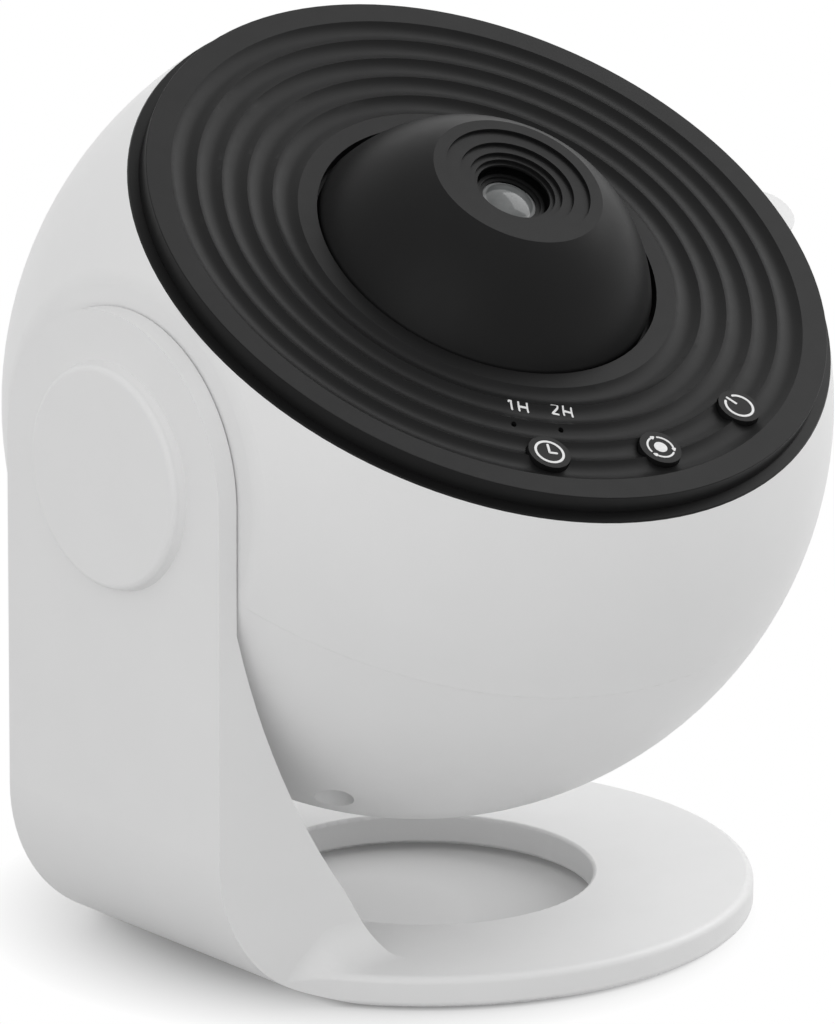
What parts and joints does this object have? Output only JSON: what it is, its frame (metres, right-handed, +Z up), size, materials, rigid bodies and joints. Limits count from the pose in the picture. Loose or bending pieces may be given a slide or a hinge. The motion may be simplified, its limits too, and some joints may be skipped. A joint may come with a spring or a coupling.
{
  "type": "planetarium projector",
  "caption": "Ball-shaped home planetarium projector on a one-armed ring stand, with a rippled panel, focus cone, push buttons and disc drawer.",
  "frame": {"origin": "on the table, under the middle of the object", "axes": "+Z up, -Y the front, +X the side where the disc drawer opens; the arm is at -X"},
  "size_m": [0.129, 0.1299, 0.1399],
  "materials": {
    "white_plastic": "fine satin moulding",
    "black_plastic": "fine matte moulding",
    "rubber": "matte",
    "steel": "zinc plated",
    "fibre_washer": "pressed fibre",
    "lens_glass": "polished",
    "film": "printed film with clear stars",
    "circuit_board": "solder mask",
    "lamp_board_metal": "as extruded",
    "diode": "phosphor under a clear dome",
    "gear_plastic": "natural acetal"
  },
  "bodies": {
    "stand": {"stand_frame": "white_plastic", "pivot_cap": "white_plastic", "pivot_bolt": "steel", "bolt_washer": "steel", "friction_washer": "fibre_washer", "disc_spring": "steel", "lock_nut": "steel", "base_feet": "rubber"},
    "head": {"front_shell": "white_plastic", "rear_shell": "white_plastic", "bezel_ring": "black_plastic", "ripple_panel": "black_plastic", "pivot_hub": "black_plastic", "chassis": "black_plastic", "lens_guide": "black_plastic", "disc_guide": "black_plastic", "lamp_tube": "black_plastic", "condenser_lens": "lens_glass", "lamp_board": "lamp_board_metal", "lamp_diode": "diode", "heat_sink": "lamp_board_metal", "drive_motor": "steel", "key_board": "circuit_board", "tact_switches": "black_plastic", "light_pipes": "lens_glass", "main_board": "circuit_board", "board_chips": "black_plastic", "power_inlet": "steel", "inlet_board": "circuit_board", "shell_screws": "steel", "guide_screws": "steel", "leg_screws": "steel", "tube_screws": "steel", "sink_screws": "steel", "key_board_screws": "steel", "main_board_screws": "steel"},
    "focus": {"focus_ring": "black_plastic"},
    "lens_carriage": {"lens_barrel": "black_plastic", "front_lens": "lens_glass", "front_lens_ring": "black_plastic", "rear_lens": "lens_glass", "rear_lens_ring": "black_plastic"},
    "timer_key": {"timer_button": "black_plastic", "timer_plunger": "black_plastic"},
    "rotate_key": {"rotate_button": "black_plastic", "rotate_plunger": "black_plastic"},
    "power_key": {"power_button": "black_plastic", "power_plunger": "black_plastic"},
    "drawer": {"disc_tray": "white_plastic"},
    "star_disc": {"disc_rim": "black_plastic", "star_film": "film"},
    "pinion": {"drive_pinion": "gear_plastic", "motor_shaft": "steel"}
  },
  "joints": [
    {"name": "head_tilt", "type": "hinge", "parent": "stand", "child": "head", "pos_m": [-0.00105, 0, 0.083], "axis": [1, 0, 0], "range_deg": [-120, 60]},
    {"name": "focus_turn", "type": "hinge", "parent": "head", "child": "focus", "pos_m": [-0.00105, 0, 0.083], "axis": [0, -0.5, 0.866], "range_deg": [-50, 50]},
    {"name": "lens_slide", "type": "slide", "parent": "head", "child": "lens_carriage", "axis": [0, -0.5, 0.866], "range_m": [-0.002, 0.002]},
    {"name": "timer_key_press", "type": "slide", "parent": "head", "child": "timer_key", "axis": [0, 0.5, -0.866], "range_m": [0, 0.0006], "stiffness_N_per_m": 500, "springref_m": -0.0006},
    {"name": "rotate_key_press", "type": "slide", "parent": "head", "child": "rotate_key", "axis": [0, 0.5, -0.866], "range_m": [0, 0.0006], "stiffness_N_per_m": 500, "springref_m": -0.0006},
    {"name": "power_key_press", "type": "slide", "parent": "head", "child": "power_key", "axis": [0, 0.5, -0.866], "range_m": [0, 0.0006], "stiffness_N_per_m": 500, "springref_m": -0.0006},
    {"name": "drawer_slide", "type": "slide", "parent": "head", "child": "drawer", "axis": [1, 0, 0], "range_m": [0, 0.062]},
    {"name": "disc_spin", "type": "hinge", "parent": "drawer", "child": "star_disc", "pos_m": [-0.00105, 0, 0.083], "axis": [0, -0.5, 0.866], "continuous": true},
    {"name": "pinion_spin", "type": "hinge", "parent": "head", "child": "pinion", "pos_m": [-0.02985, 0, 0.083], "axis": [0, -0.5, 0.866], "continuous": true}
  ],
  "couplings": [
    {"joint": "lens_slide", "follows": "focus_turn", "m_per_rad": 0.00229},
    {"joint": "pinion_spin", "follows": "disc_spin", "ratio": -5}
  ]
}
